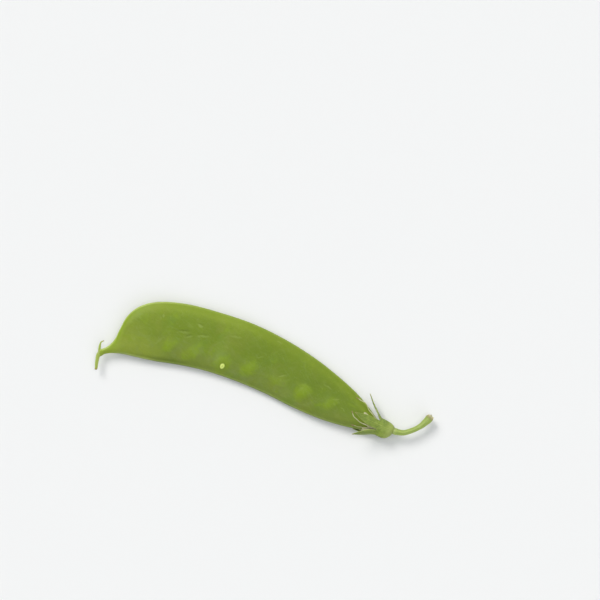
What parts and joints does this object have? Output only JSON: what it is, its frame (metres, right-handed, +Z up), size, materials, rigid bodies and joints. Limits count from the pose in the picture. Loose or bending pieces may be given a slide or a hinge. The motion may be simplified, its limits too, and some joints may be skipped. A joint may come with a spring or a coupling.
{
  "type": "snow pea pod",
  "caption": "Whole flat green pea pod on its side, with a beaked tip and bent style at one end and a calyx, sepals and a short bent stalk at the other.",
  "frame": {"origin": "bottom centre of the whole object's bounding box, on the surface the pod lies on", "axes": "+X from the beak to the stalk, +Y from the ventral suture that carries the peas to the dorsal suture, +Z up through the pod's thickness"},
  "size_m": [0.1192, 0.0328, 0.0089],
  "materials": {
    "pod_skin": "fresh green plant skin with a thin wax bloom, semi-matte",
    "calyx_green": "thin green leaf tissue, matte, a little translucent",
    "stalk_green": "pale green stem, matte, finely ridged along its length",
    "style_green": "pale yellow-green plant thread, matte",
    "dry_thread": "dry straw-coloured plant thread, matte"
  },
  "bodies": {
    "root": {"pod": "pod_skin", "style": "style_green", "calyx_cup": "calyx_green", "stalk": "stalk_green", "sepal_dorsal": "calyx_green", "sepal_upper_side": "calyx_green", "sepal_upper_ventral": "calyx_green", "sepal_lower_ventral": "calyx_green", "sepal_lower_side": "calyx_green", "filament_upper": "dry_thread", "filament_dorsal": "dry_thread"}
  },
  "joints": []
}
